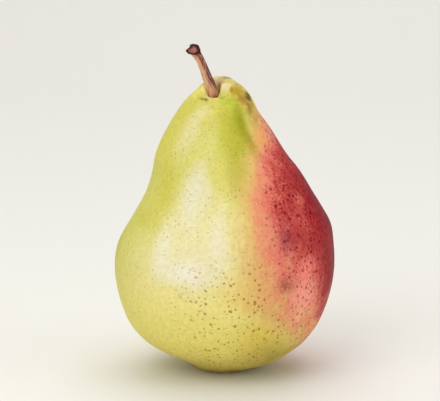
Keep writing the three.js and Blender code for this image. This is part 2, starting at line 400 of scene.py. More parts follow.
free = ease(height, *SWELLS_START) * (1 - ease(height, *SWELLS_END))
push = free * sum(raised * gentle_noise(fruit_points, size, seed) for raised, size, seed in SWELLS)
radius = np.hypot(fruit_points[:, :, 0] - EYE_X, fruit_points[:, :, 1])
pucker = ease(radius, *PUCKERS_START) * (1 - ease(radius, *PUCKERS_END)) * (height < PUCKERS_BELOW)
for count, turn, dent, sharpness in PUCKERS:
    push -= dent * pucker * (0.5 + 0.5 * np.cos(count * angles + turn)) ** sharpness
in_front = (fruit_points[:, :, 1] < 0) & (height > CREASE_ABOVE)
in_front &= fruit_points[:, :, 2] > CREASE_ABOVE
from_crease = distance_to_line(fruit_points, CREASE_FROM, CREASE_TO)
push -= CREASE_DEPTH * np.exp(-((from_crease / CREASE_WIDTH) ** 2)) * in_front
fruit_points += push[:, :, None] * outward(fruit_points)
fruit = piece_from_rings("pear_fruit", [fruit_points])

# %% [markdown]
# Every finish below is built from the same few steps: a colour, a noise, a fade from one value to
# another, a mix. A small helper class gives each step a short name, so that a recipe reads from top
# to bottom. Colours are written as a painter would mix them, from 0 to 255, and changed to the
# linear light that Blender counts in.


# %% Helpers for finishes
def paint(red, green, blue):
    """A mixed colour in Blender's linear light."""
    shares = [value / 255 for value in (red, green, blue)]
    return (*[s / 12.92 if s <= 0.04045 else ((s + 0.055) / 1.055) ** 2.4 for s in shares], 1)


SMALLEST_SPECK = 0.45
SPECK_EDGE = (1.0, 0.55)  # shares of a speck's reach where it begins, and where it is full
SPOT_EDGE = (1.15, 0.3)  # the same for a spot


class Finish:
    """One procedural material, built up in short steps."""

    def __init__(self, name):
        self.material = bpy.data.materials.new(name)
        self.material.use_nodes = True
        self.tree = self.material.node_tree
        self.shader = self.tree.nodes["Principled BSDF"]
        coordinates = self.tree.nodes.new("ShaderNodeTexCoord")
        self.facing = coordinates.outputs["Normal"]
        scaled = self.vector("SCALE", coordinates.outputs["Object"])
        scaled.node.inputs["Scale"].default_value = 1 / MM
        self.place = scaled

    def join(self, socket, value):
        """Links a value that another node gives, or sets a plain one."""
        if isinstance(value, bpy.types.NodeSocket):
            self.tree.links.new(value, socket)
        else:
            socket.default_value = value

    def number(self, operation, *values):
        """One step of arithmetic."""
        node = self.tree.nodes.new("ShaderNodeMath")
        node.operation = operation
        for socket, value in zip(node.inputs, values):
            self.join(socket, value)
        return node.outputs[0]

    def times(self, *values):
        """Several values multiplied together."""
        product = values[0]
        for value in values[1:]:
            product = self.number("MULTIPLY", product, value)
        return product

    def vector(self, operation, first, second=(0, 0, 0)):
        """One step of arithmetic on places or directions."""
        node = self.tree.nodes.new("ShaderNodeVectorMath")
        node.operation = operation
        self.join(node.inputs[0], first)
        self.join(node.inputs[1], second)
        return node.outputs[0]

    def parts(self, vector):
        """The x, y and z of a vector."""
        node = self.tree.nodes.new("ShaderNodeSeparateXYZ")
        self.join(node.inputs[0], vector)
        return node.outputs

    def fade(self, value, start, end):
        """0 where value is at start, 1 where it is at end, with a smooth change between."""
        node = self.tree.nodes.new("ShaderNodeMapRange")
        node.interpolation_type = "SMOOTHSTEP"
        for name, setting in (("Value", value), ("From Min", start), ("From Max", end)):
            self.join(node.inputs[name], setting)
        return node.outputs[0]

    def mix(self, share, first, second, kind="MIX"):
        """The second colour over the first, by a share."""
        node = self.tree.nodes.new("ShaderNodeMix")
        node.data_type = "RGBA"
        node.blend_type = kind
        for slot, setting in ((0, share), (6, first), (7, second)):
            self.join(node.inputs[slot], setting)
        return node.outputs[2]

    def noise(self, size, detail, vector=None, output="Fac"):
        """Noise with lumps of about the given size, in millimetres."""
        node = self.tree.nodes.new("ShaderNodeTexNoise")
        self.join(node.inputs["Vector"], vector or self.place)
        node.inputs["Scale"].default_value = 1 / size
        node.inputs["Detail"].default_value = detail
        return node.outputs[output]

    def swing(self, noise, reach):
        """A noise that swings to both sides of 0, by up to half of reach each way."""
        return self.times(self.number("SUBTRACT", noise, 0.5), reach)

    def shaken(self, size, detail, reach):
        """The place, moved about by a noise: by up to half of reach each way."""
        moved = self.vector("SUBTRACT", self.noise(size, detail, output="Color"), (0.5, 0.5, 0.5))
        return self.vector("ADD", self.place, self.vector("MULTIPLY", moved, reach))

    def colours(self, value, stops):
        """A run of colours along a value, each at its own place from 0 to 1."""
        node = self.tree.nodes.new("ShaderNodeValToRGB")
        self.join(node.inputs[0], value)
        elements = node.color_ramp.elements
        while len(elements) < len(stops):
            elements.new(0.5)
        for element, (place, colour) in zip(elements, stops):
            element.position, element.color = place, paint(*colour)
        return node.outputs[0]

    def curve(self, value, points):
        """A value from 0 to 1 that follows a drawn curve."""
        node = self.tree.nodes.new("ShaderNodeFloatCurve")
        self.join(node.inputs["Value"], value)
        drawn = node.mapping.curves[0].points
        while len(drawn) < len(points):
            drawn.new(0.5, 0.5)
        for point, place in zip(drawn, points):
            point.location = place
        node.mapping.update()
        return node.outputs[0]

    def specks(self, spacing, size, vector):
        """Round specks of uneven size: a mask that is 1 in each speck, and 0 between them."""
        node = self.tree.nodes.new("ShaderNodeTexVoronoi")
        self.join(node.inputs["Vector"], vector)
        node.inputs["Scale"].default_value = 1 / spacing
        luck = self.parts(node.outputs["Color"])[0]
        reach = self.times(self.number("ADD", luck, SMALLEST_SPECK), size)
        distance = self.times(node.outputs["Distance"], spacing)
        return self.fade(self.number("DIVIDE", distance, reach), *SPECK_EDGE)

    def length(self, vector):
        """The length of a vector."""
        node = self.tree.nodes.new("ShaderNodeVectorMath")
        node.operation = "LENGTH"
        self.join(node.inputs[0], vector)
        return node.outputs["Value"]

    def from_upright(self, x):
        """How far a place lies from an upright line through x, in millimetres."""
        off = self.vector("SUBTRACT", self.place, (x, 0, 0))
        return self.length(self.vector("MULTIPLY", off, (1, 1, 0)))

    def along(self, middle, direction):
        """How far a place lies from a middle along a direction, both in millimetres."""
        node = self.tree.nodes.new("ShaderNodeVectorMath")
        node.operation = "DOT_PRODUCT"
        self.join(node.inputs[0], self.vector("SUBTRACT", self.place, tuple(middle)))
        self.join(node.inputs[1], tuple(direction))
        return node.outputs["Value"]

    def spot(self, middle, radii, place=None):
        """A soft egg-shaped spot: 1 in its middle, and 0 outside its three radii in millimetres."""
        off = self.vector("SUBTRACT", place or self.place, tuple(middle))
        return self.fade(self.length(self.vector("DIVIDE", off, tuple(radii))), *SPOT_EDGE)

    def bump(self, layers):
        """Raises the surface by several masks, each with its height in millimetres."""
        normal = None
        for mask, raised in layers:
            node = self.tree.nodes.new("ShaderNodeBump")
            self.join(node.inputs["Height"], mask)
            node.inputs["Distance"].default_value = raised * MM
            if normal:
                self.join(node.inputs["Normal"], normal)
            normal = node.outputs[0]
        self.join(self.shader.inputs["Normal"], normal)

    def set(self, **settings):
        """Sets inputs of the shader. An underscore in a name stands for a space."""
        for name, value in settings.items():
            self.join(self.shader.inputs[name.replace("_", " ")], value)


print("paint check:", [round(value, 3) for value in paint(232, 231, 226)])

# %% [markdown]
# The skin's colours are laid on in the order in which they grow. First comes the ground colour,
# which goes from golden at the bottom over pale cream on the belly to yellow-green at the neck. A
# place on the skin is named by its height, as a share of 100 mm, and by the angle round the fruit: 0
# degrees is the front, and positive angles go towards the blushed cheek.

# %% Lay on the ground colour
COLOURS_STRAY = (4, 4, 7)
WHOLE_RISE = 100.0

skin = Finish("pear_skin")
place_x, place_y, place_z = skin.parts(skin.shaken(9, 4, COLOURS_STRAY))
forwards = skin.times(place_y, -1.0)
angle = skin.times(skin.number("ARCTAN2", place_x, forwards), 180 / math.pi)
rise = skin.number("DIVIDE", place_z, WHOLE_RISE)

ground = skin.colours(rise, [
    (0.00, (216, 200, 104)),
    (0.09, (234, 218, 114)),
    (0.18, (240, 226, 126)),
    (0.28, (240, 227, 140)),
    (0.42, (236, 225, 160)),
    (0.56, (232, 222, 148)),
    (0.66, (224, 215, 120)),
    (0.76, (215, 208, 102)),
    (0.90, (210, 203, 94)),
    (0.97, (222, 210, 122)),
])
print("ground colour laid on")

# %% [markdown]
# Next come soft patches: greener skin where less sun fell, on the left and in a streak below the
# right rim. The pale patches on the belly and left of the neck are a painted highlight, a broad
# sheen drawn into the colour, and the olive at the belly's far left edge and low on the right is
# painted shade. Each patch is an oval in angle and height with a soft edge, so that one row of a list
# describes it. Angles jump from 180 to -180 at the back, so the distance to an oval's middle is
# wrapped, or a patch there would be cut off along a line.

# %% Lay on the patches
OVAL_EDGE = (1.15, 0.0)  # shares of an oval's reach where it begins, and where it is full
SOFT_PATCHES_HIGHLIGHT_AND_SHADE = [  # colour, strength, angle, height, half its span in angle and in height
    ((204, 200, 84), 0.85, -84, 0.50, 54, 0.42),  # green-gold left side
    ((206, 200, 80), 0.75, -48, 0.62, 18, 0.17),  # greener hollow on the left
    ((226, 218, 120), 0.60, -48, 0.21, 26, 0.12),  # paler gold low on the left
    ((172, 172, 78), 0.50, -89, 0.41, 16, 0.12),  # painted shade: olive at the belly's far left edge
    ((186, 184, 60), 0.85, 8, 0.84, 24, 0.14),  # green front of the neck
    ((146, 148, 12), 0.85, 23, 0.84, 15, 0.13),  # deep green streak
    ((180, 176, 52), 0.75, 12, 0.72, 15, 0.16),  # its lower end
    ((230, 222, 176), 0.65, -38, 0.82, 18, 0.12),  # painted highlight left of the neck
    ((228, 221, 168), 0.30, -16, 0.76, 12, 0.14),  # painted highlight: a pale band below it
    ((240, 236, 214), 0.25, -20, 0.47, 28, 0.20),  # painted highlight: the pale belly
    ((240, 236, 228), 0.54, -22, 0.62, 14, 0.11),  # painted highlight: the palest patch above the belly
    ((244, 240, 226), 0.50, -35, 0.46, 8, 0.12),  # left arm of that painted highlight
    ((246, 241, 226), 0.72, -21, 0.39, 19, 0.062),  # its lowest and brightest part, painted highlight
    ((242, 236, 214), 0.55, -4, 0.49, 8, 0.14),  # right arm of the painted highlight
    ((238, 231, 206), 0.40, -11, 0.635, 5, 0.06),  # right edge of the painted highlight
    ((238, 232, 210), 0.45, -22, 0.68, 12, 0.06),  # top of the painted highlight
    ((200, 194, 70), 0.50, -62, 0.535, 18, 0.06),  # green left of the palest skin
    ((172, 140, 44), 0.75, 29, 0.79, 7, 0.06),  # brown edge of the green streak
    ((238, 200, 96), 0.50, 11, 0.33, 17, 0.085),  # gold beside the blush
    ((214, 184, 62), 0.60, 22, 0.18, 22, 0.10),  # deeper gold below it
    ((164, 142, 58), 0.65, 42, 0.10, 40, 0.09),  # painted shade: olive low on the right
    ((200, 196, 82), 0.70, 178, 0.55, 60, 0.45),  # green back
]


def degrees_from(at_angle):
    """How far a place is round the fruit from an angle, from -180 to 180 degrees."""
    return skin.number("WRAP", skin.number("SUBTRACT", angle, at_angle), 180.0, -180.0)


def patch(at_angle, at_rise, half_angle, half_rise):
    """A soft oval on the skin: 1 in its middle and 0 outside."""
    off_angle = skin.number("DIVIDE", degrees_from(at_angle), half_angle)
    off_rise = skin.number("DIVIDE", skin.number("SUBTRACT", rise, at_rise), half_rise)
    squares = [skin.times(value, value) for value in (off_angle, off_rise)]
    return skin.fade(skin.number("SQRT", skin.number("ADD", *squares)), *OVAL_EDGE)


layer = ground
for colour, strength, *oval in SOFT_PATCHES_HIGHLIGHT_AND_SHADE:
    layer = skin.mix(skin.times(patch(*oval), strength), layer, paint(*colour))
print("patches laid on:", len(SOFT_PATCHES_HIGHLIGHT_AND_SHADE))

# %% [markdown]
# The blush is where the sun fell. It doesn't start at a line: going round the fruit, the skin turns
# peach first, then salmon, then red, and at last crimson. So one run of colours describes it, along
# the depth into the blush in degrees. Two curves along the height say where it starts and how fast
# it deepens, because it stays pink for longest low on the belly. Stretched noise breaks it into
# short upright streaks, and a finer and a broader noise mottle it.

# %% Lay on the blush
BLUSH_START = [  # height, and the angle where the blush starts there, in hundreds of degrees
    (0.00, 0.80), (0.10, 0.62), (0.17, 0.42), (0.22, 0.28), (0.27, 0.18), (0.34, 0.14), (0.46, 0.13),
    (0.58, 0.14), (0.66, 0.16), (0.72, 0.21), (0.78, 0.34), (0.84, 0.50), (0.92, 0.80), (1.00, 1.00),
]
BLUSH_PACE = [  # height, and how fast the blush deepens there
    (0.00, 0.20), (0.20, 0.30), (0.27, 0.36), (0.34, 0.46), (0.40, 0.58), (0.465, 0.84), (0.52, 1.00),
    (0.61, 1.00), (0.68, 0.88), (0.73, 0.76), (0.77, 0.60), (0.82, 0.40), (1.00, 0.30),
]
DEEPEST = 62.0  # degrees into the blush where its last colour is reached
BLUSH_PALES = (168, 112)  # angles behind the right side between which it is shallower again
BLUSH_ENDS = (172, 146)  # and those between which it ends
BLUSH_TOP = (0.92, 0.80)
BLUSH_FOOT = (0.015, 0.10)
NEAR_EDGE = (-14, 5)  # degrees into the blush between which it covers the ground colour
STREAK_REACH = 16.0
FLECK_REACH = 34.0
CLOUD_REACH = 30.0

stretched = skin.vector("MULTIPLY", skin.place, (1, 1, 0.2))
streaks = skin.swing(skin.noise(1.6, 3, stretched), STREAK_REACH)
flecks = skin.swing(skin.noise(0.7, 4), FLECK_REACH)
clouds = skin.swing(skin.noise(5, 3), CLOUD_REACH)
start_angle = skin.times(skin.curve(rise, BLUSH_START), 100.0)
degrees_in = skin.number("SUBTRACT", angle, start_angle)
into_blush = skin.number("ADD", degrees_in, streaks)
far_angle = skin.number("ADD", angle, streaks)
depth = skin.times(degrees_in, skin.curve(rise, BLUSH_PACE), skin.fade(far_angle, *BLUSH_PALES))
uneven = skin.number("ADD", skin.number("ADD", streaks, flecks), clouds)
depth = skin.number("ADD", depth, skin.times(uneven, skin.fade(degrees_in, -4, 30)))
away_from_ends = skin.times(skin.fade(rise, *BLUSH_TOP), skin.fade(rise, *BLUSH_FOOT))
sunlit = skin.times(away_from_ends, skin.fade(far_angle, *BLUSH_ENDS))

blush_colour = skin.colours(skin.number("DIVIDE", depth, DEEPEST), [
    (0.00, (227, 188, 113)),
    (0.09, (233, 156, 114)),
    (0.19, (230, 128, 108)),
    (0.29, (212, 102, 90)),
    (0.39, (196, 76, 70)),
    (0.50, (180, 60, 58)),
    (0.65, (173, 54, 55)),
    (0.84, (163, 34, 38)),
    (1.00, (138, 12, 34)),
])
blushed = skin.times(skin.fade(into_blush, *NEAR_EDGE), sunlit)
layer = skin.mix(blushed, layer, blush_colour)
print("blush laid on")

# %% [markdown]
# The blush has its own patches: pale pink low on the belly, a dusky smudge at its near edge, and the
# deepest crimson round the side. The pale pink is partly a painted reflection of light from the
# paper, and the crimson round the side and the brown below it are partly painted shade. A fine noise
# breaks them up, or they would look like stickers. In the deep red, lighter and darker flecks lie
# over everything, like the grain of the real skin.

# %% Tint the blush
BLUSH_TINTS_LIGHT_AND_SHADE = [  # colour, strength, angle, height, half its span in angle and in height
    ((250, 160, 142), 0.95, 46, 0.30, 16, 0.11),  # palest pink, partly a painted reflection of light from the paper below
    ((246, 138, 122), 0.85, 47, 0.39, 12, 0.06),  # deeper pink above it
    ((150, 70, 76), 0.58, 35, 0.49, 9, 0.09),  # dusky smudge
    ((208, 90, 82), 0.65, 50, 0.54, 10, 0.08),  # lighter red beside it
    ((150, 22, 30), 0.95, 72, 0.36, 14, 0.18),  # crimson
    ((110, 6, 22), 0.85, 94, 0.40, 26, 0.28),  # deepest crimson round the side, partly painted shade at the edge
    ((170, 66, 58), 0.80, 72, 0.22, 14, 0.07),  # brick red below the crimson
    ((140, 98, 54), 0.70, 82, 0.11, 36, 0.06),  # brown below the blush, partly painted shade along the lower edge
    ((150, 82, 66), 0.60, 33, 0.345, 9, 0.05),  # small smudge at the pink's edge
    ((246, 178, 134), 0.70, 44, 0.24, 9, 0.05),  # peach below the pink
    ((182, 148, 56), 0.68, 31, 0.78, 11, 0.07),  # gold at the blush's top
    ((230, 166, 96), 0.70, 46, 0.81, 14, 0.07),  # orange on the neck
    ((210, 166, 130), 0.55, 75, 0.80, 14, 0.05),  # dull peach on the neck's side
    ((216, 106, 92), 0.80, 56, 0.60, 8, 0.04),  # light red in the middle
    ((228, 152, 120), 0.60, 26, 0.52, 6, 0.10),  # peach at the near edge
    ((158, 46, 44), 0.50, 38, 0.57, 7, 0.05),  # darker red above the smudge
]

tint_flecks = skin.noise(1.2, 4)
for colour, strength, *oval in BLUSH_TINTS_LIGHT_AND_SHADE:
    share = skin.times(patch(*oval), tint_flecks, 2 * strength, sunlit)
    layer = skin.mix(skin.fade(share, 0.0, 1.0), layer, paint(*colour))

grain = skin.noise(1.1, 5, skin.vector("MULTIPLY", skin.place, (1, 1, 0.6)))
in_deep = skin.times(skin.fade(depth, 12, 26), sunlit)
light_grain = skin.times(skin.fade(grain, 0.50, 0.74), 0.22, in_deep)
dark_grain = skin.times(skin.fade(grain, 0.47, 0.32), 0.50, in_deep)
layer = skin.mix(light_grain, layer, paint(226, 112, 100))
layer = skin.mix(dark_grain, layer, paint(124, 14, 30))
print("tints laid on:", len(BLUSH_TINTS_LIGHT_AND_SHADE))

# %% [markdown]
# Russet is a thin layer of cork that forms where the skin was rubbed or stayed wet. This pear has a
# brown patch of it on the right shoulder, and a little round the stem's hollow. Most pears also have
# some in the basin round the calyx, so this one does too. It is rough and streaked, so the colour is
# broken up by a noise.

# %% Lay on the russet
SHOULDER_OVAL = (58, 0.90, 30, 0.09)
GOLD_RIM_OVAL = (34, 0.93, 22, 0.05)
BASIN_RADII = (15, 6)

russet_noise = skin.fade(skin.noise(1.8, 5), 0.40, 0.60)
shoulder = skin.times(patch(*SHOULDER_OVAL), 0.95)
russet_colour = skin.mix(russet_noise, paint(196, 158, 92), paint(146, 108, 40))
layer = skin.mix(shoulder, layer, russet_colour)
gold_rim = skin.times(patch(*GOLD_RIM_OVAL), 0.75)
gold_colour = skin.mix(russet_noise, paint(206, 176, 66), paint(170, 128, 44))
layer = skin.mix(gold_rim, layer, gold_colour)
basin = skin.times(skin.fade(skin.from_upright(EYE_X), *BASIN_RADII), skin.fade(rise, 0.14, 0.05))
uneven_cover = skin.number("ADD", 0.15, skin.times(russet_noise, 0.6))
layer = skin.mix(skin.times(basin, uneven_cover), layer, paint(158, 118, 62))
russet = skin.times(shoulder, russet_noise)
print("russet laid on")

# %% [markdown]
# The hollow round the stem is small but it is looked at first, so its marks are laid on one by one:
# the cream fold on the right of the stem, lightened as a painted highlight; the tan wall behind it,
# the dark crevices where flesh and stem meet, the crease left of the stem and a grey line on the back
# lip, all darkened as painted shade; and the golden cork on the rim, which is the skin's own colour.
# Each mark is a soft egg-shaped spot at its own place in millimetres, with an edge that wanders a
# little.

# %% Mark the hollow round the stem
HOLLOW_MARKS_HIGHLIGHT_AND_SHADE = [  # middle, radii, colour, strength
    ((-8.6, -2.2, 93.2), (3.2, 4.0, 2.8), (240, 230, 112), 0.65),  # yellow left of the stem
    ((-6.8, -3.4, 94.4), (1.5, 2.4, 2.4), (248, 226, 142), 0.80),  # warm skin against the stem
    ((-6.6, -10.4, 87.8), (3.6, 3.0, 3.4), (232, 218, 158), 0.50),  # pale front of the rim
    ((1.2, -8.3, 90.8), (3.4, 3.0, 2.8), (190, 198, 68), 0.70),  # green below the fold
    ((-1.0, -7.9, 92.2), (1.3, 1.5, 0.9), (164, 160, 44), 0.70),  # olive foot of the fold
    ((6.0, -5.4, 91.5), (2.2, 2.6, 1.4), (158, 122, 50), 0.70),  # brown net below the cork
    ((4.2, -4.4, 93.9), (3.2, 3.0, 2.1), (184, 150, 40), 0.90),  # golden cork on the rim
    ((2.1, -5.0, 94.6), (0.9, 1.6, 1.3), (160, 120, 36), 0.85),  # its brown left edge
    ((7.7, -2.4, 91.9), (1.8, 3.0, 2.6), (104, 80, 36), 0.90),  # its olive right edge
    ((4.8, -1.2, 95.4), (2.8, 3.0, 1.5), (180, 162, 92), 0.70),  # olive skin above it
    ((2.2, -0.4, 96.9), (2.6, 3.0, 1.5), (196, 182, 122), 0.80),  # dull top of the fold
    ((0.3, -3.4, 94.9), (2.1, 3.0, 2.2), (228, 214, 158), 0.90),  # painted highlight on the cream fold
    ((-1.8, 2.4, 96.0), (2.6, 3.0, 2.4), (212, 184, 142), 0.90),  # painted shade on the tan wall behind it
    ((-3.0, 3.2, 96.9), (1.4, 3.0, 1.6), (238, 220, 168), 0.80),  # its lighter left end
    ((-1.6, 1.5, 94.7), (1.4, 2.4, 1.5), (158, 126, 88), 0.85),  # shaded foot of that wall
    ((-1.75, -1.0, 93.2), (0.9, 3.2, 1.9), (74, 46, 22), 0.95),  # painted shade in the crevice right of the stem
    ((1.2, 2.4, 97.8), (3.2, 3.0, 0.8), (138, 126, 98), 0.85),  # painted shade: a grey line along the back lip
    ((-9.0, -5.9, 91.5), (2.4, 1.6, 0.35), (172, 154, 80), 0.75),  # painted shade in the crease left of the stem
    ((-7.4, -6.4, 91.4), (1.6, 1.4, 0.4), (134, 112, 50), 0.80),  # darker painted shade at its inner end
    ((-6.1, -6.9, 91.3), (0.8, 1.2, 0.6), (104, 82, 32), 0.85),  # painted shade in its dark corner
    ((-3.8, -7.4, 91.7), (2.8, 1.5, 0.7), (228, 208, 126), 0.60),  # lip in front of the stem
]

strayed = skin.shaken(0.8, 3, (1.0, 1.0, 1.0))
for middle, radii, colour, strength in HOLLOW_MARKS_HIGHLIGHT_AND_SHADE:
    layer = skin.mix(skin.times(skin.spot(middle, radii, strayed), strength), layer, paint(*colour))
print("marks round the stem:", len(HOLLOW_MARKS_HIGHLIGHT_AND_SHADE))

# %% [markdown]
# Lenticels are the pores of the skin. On the green side they are faint and small, on the lower
# front they are larger and rust-brown, and in the blush they are dark red, though fainter where it
# is only pink. They are made as specks of three sizes, and each kind is kept to its own part of the
# fruit. Two of the patterns are moved, or their specks would share middles with the first.

# %% Lay on the lenticels
RUST_MOVE = (40, 13, 7)
RED_MOVE = (-9, 31, 17)
NECK_OVAL = (16, 0.75, 12, 0.16)
LOW_FRONT_ANGLE = 40
LOW_FRONT_TOP = (0.46, 0.36)
LOW_FRONT_SIDES = (76, 46)

crooked = skin.shaken(1.1, 2, (0.7, 0.7, 0.7))
small_specks = skin.specks(1.2, 0.26, crooked)
large_specks = skin.specks(1.55, 0.46, skin.vector("ADD", crooked, RUST_MOVE))
red_specks = skin.specks(1.45, 0.50, skin.vector("ADD", crooked, RED_MOVE))

in_red = skin.times(skin.fade(into_blush, 4, 16), sunlit)
on_green = skin.number("SUBTRACT", 1.0, in_red)
from_low_front = skin.number("ABSOLUTE", degrees_from(LOW_FRONT_ANGLE))
low_front = skin.times(skin.fade(rise, *LOW_FRONT_TOP), skin.fade(from_low_front, *LOW_FRONT_SIDES))
more_on_neck = skin.number("ADD", skin.times(patch(*NECK_OVAL), 0.4), 0.45)
more_in_depth = skin.number("ADD", 0.5, skin.times(skin.fade(depth, 8, 30), 0.5))
small_share = skin.times(small_specks, on_green, more_on_neck)
rust_share = skin.times(large_specks, on_green, low_front, 0.78)
red_share = skin.times(red_specks, in_red, more_in_depth, 0.92)
layer = skin.mix(small_share, layer, paint(146, 126, 50))
layer = skin.mix(rust_share, layer, paint(174, 106, 50))
layer = skin.mix(red_share, layer, paint(110, 12, 24))
print("lenticels laid on")

# %% [markdown]
# Last, a fine mottle keeps any part from being one flat colour, and the waxy surface gets its
# gloss. Wax makes a soft, wide sheen: a middling roughness with a thin, smoother coat over it. The
# russet is dull. The relief is slight, since a ripe pear feels almost smooth.

# %% Finish the skin
mottle = skin.noise(1.3, 5)
mottle_colour = skin.colours(mottle, [(0.3, (206, 204, 196)), (0.7, (255, 255, 255))])
layer = skin.mix(0.3, layer, mottle_colour, "MULTIPLY")
skin.set(Base_Color=layer, Coat_Weight=0.03, Coat_Roughness=0.28, Specular_IOR_Level=0.08, IOR=1.3)
dullness = skin.number("ADD", skin.times(russet, 0.25), skin.times(mottle, 0.12))
skin.set(Roughness=skin.number("ADD", dullness, 0.42))
skin.bump([  # mask, height in millimetres
    (skin.noise(0.7, 3), 0.02),
    (large_specks, 0.03),
    (small_specks, 0.015),
    (russet_noise, 0.03),
])
fruit.data.materials.append(skin.material)
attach(fruit, "root")
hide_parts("fruit")
print("nodes in the skin:", len(skin.tree.nodes))

# %% [markdown]
# The stem is a woody stalk, thickest where it grows out of the fruit and at its cut end. It is
# drawn as rings along a bent line. The bark has long ridges and fine wrinkles, and the cut end is a
# little hollow with a dark, raised lip.

# %% Make the stem
STEM_LINE = [  # x, y, height, radius
    (-3.9, -1.8, 85.0, 1.8),
    (-3.9, -1.8, 89.8, 1.95),
    (-3.9, -1.85, 91.6, 2.0),
    (-4.0, -1.9, 93.0, 2.0),
    (-4.4, -2.1, 95.0, 1.77),
    (-5.75, -2.4, 98.3, 1.55),
    (-6.9, -2.6, 101.5, 1.43),
    (-8.1, -2.9, 104.2, 1.37),
    (-9.2, -3.1, 106.0, 1.5),
    (-9.7, -3.3, 107.5, 1.77),
]
STEM_SIDES = 72
STEM_RING_SPACING = 0.17
STEM_TWIST = 0.5
RIDGES = [(5, 0, 0.05), (11, 9, 0.02)]  # count, drift in radians along the stem, height as a share
CUT_ANGLE = 5.1
CUT_SLOPE = 0.57
CUT_START = 0.88  # the share of the stem's length where its rings begin to slant
LIP_START = 0.93
LIPS = [(3.75, 0.8), (1.6, 0.35)]  # angle round the stem, and how much wider it is there
CUT_RINGS = [(0.90, -0.05), (0.72, 0.22), (0.45, 0.36), (0.2, 0.40)]  # share of the width, depth


def rings_along(line):
    """For each point of a line: two directions across it, and the one along it."""
    along = np.gradient(line, axis=0)
    along /= np.linalg.norm(along, axis=1, keepdims=True)
    side = np.cross([0.0, 1.0, 0.0], along)
    side /= np.linalg.norm(side, axis=1, keepdims=True)
    return side, np.cross(along, side), along


stem_line = evenly_spaced(smooth_line(STEM_LINE, steps=12), STEM_RING_SPACING)
side, over, along = (each[:, None, :] for each in rings_along(stem_line[:, :3]))
turn = angles_round(STEM_SIDES)
share = np.linspace(0, 1, len(stem_line))[:, None]
twist = turn + STEM_TWIST * share
bark = 1 + sum(high * np.cos(count * twist + drift * share) for count, drift, high in RIDGES)
lips = sum(wider * np.maximum(0, np.cos(turn - at)) ** 3 for at, wider in LIPS)
thick = stem_line[:, 3][:, None] * bark * (1 + ease(share, LIP_START, 1) * lips)
slant = -ease(share, CUT_START, 1) * CUT_SLOPE * thick * np.cos(turn - CUT_ANGLE)


def stem_ring(thickness, ahead):
    """Points round the stem's line at a given thickness, moved ahead along it."""
    out = side * np.cos(turn)[..., None] + over * np.sin(turn)[..., None]
    return stem_line[:, None, :3] + out * thickness[..., None] + along * ahead[..., None]


stem_points = stem_ring(thick, slant)
wrinkle = 0.05 * gentle_noise(stem_points * [1, 1, 0.25], size=0.5, seed=5)
wrinkle += 0.10 * gentle_noise(stem_points, size=1.6, seed=6)
stem_points = stem_ring(thick + wrinkle, slant)
cut_middle = stem_line[-1, :3]
cut_rings = []
for narrower, deeper in CUT_RINGS:
    face = cut_middle + (stem_points[-1] - cut_middle) * narrower
    rough = 0.10 * gentle_noise(face[None], size=0.8, seed=8)[0]
    cut_rings.append(face - along[-1] * (deeper + rough[:, None]))
stem_points = np.concatenate([stem_points, np.array(cut_rings)])
stem = piece_from_rings("pear_stem", [stem_points])

# %% [markdown]
# The bark goes from tan on the left to a purple brown on the right by the way each face points,
# so this is painted light and shade over the bark's own brown: lit on the left and shaded on the
# right. Dark and light lines run along it, so their noise is stretched along the stem's own lean. Its
# base is redder.

# %% Lay on the bark
BARK_STRETCH = (-0.40, -0.10, 0.88)  # the stem's lean for each millimetre up, and its lines' stretch
BASE_HEIGHTS = (97, 93)

wood = Finish("stem_bark")
stem_height = wood.parts(wood.place)[2]
along_bark = wood.vector("SUBTRACT", wood.place, wood.vector("MULTIPLY", stem_height, BARK_STRETCH))
fine_lines = wood.noise(0.42, 4, along_bark)
broad_lines = wood.noise(0.9, 3, along_bark)
wood_blots = wood.noise(2.4, 4)
# painted light and shade: faces turned left are drawn as lit tan, faces turned right as shaded brown
lit_left_shaded_right = wood.parts(wood.facing)[0]
for lines, reach in ((wood_blots, 0.3), (broad_lines, 0.6)):
    lit_left_shaded_right = wood.number("ADD", lit_left_shaded_right, wood.swing(lines, reach))
bark_colour = wood.colours(wood.number("ADD", wood.times(lit_left_shaded_right, 0.5), 0.5), [
    (0.02, (230, 192, 158)),
    (0.28, (212, 162, 122)),
    (0.50, (198, 142, 110)),
    (0.64, (164, 108, 84)),
    (0.75, (116, 66, 60)),
    (0.88, (98, 54, 54)),
    (0.98, (112, 74, 74)),
])
base_share = wood.times(wood.fade(stem_height, *BASE_HEIGHTS), 0.6)
base_colour = wood.mix(wood.fade(broad_lines, 0.38, 0.58), paint(164, 90, 64), paint(240, 186, 140))
bark_colour = wood.mix(base_share, bark_colour, base_colour)
dark_lines = wood.times(wood.fade(fine_lines, 0.52, 0.68), 0.65)
bark_colour = wood.mix(dark_lines, bark_colour, paint(104, 60, 42))
light_lines = wood.times(wood.fade(fine_lines, 0.46, 0.32), 0.5)
bark_colour = wood.mix(light_lines, bark_colour, paint(238, 188, 144))
print("bark laid on")

# %% [markdown]
# The cut end is a plane, and the height below that plane tells the dark maroon lip from the bark.
# The soft middle of the cut is a paler, pinkish brown.

# %% Finish the stem
LIP_FADE = (-0.55, -0.15)  # heights from the cut between which the bark turns into the lip
HEART_FADE = (-0.7, -0.4)
HEART_PLACE = (-0.8, -0.2, -0.5)  # from the middle of the cut to the middle of its paler wood
HEART_RADII = (1.5, 2.0, 0.9)

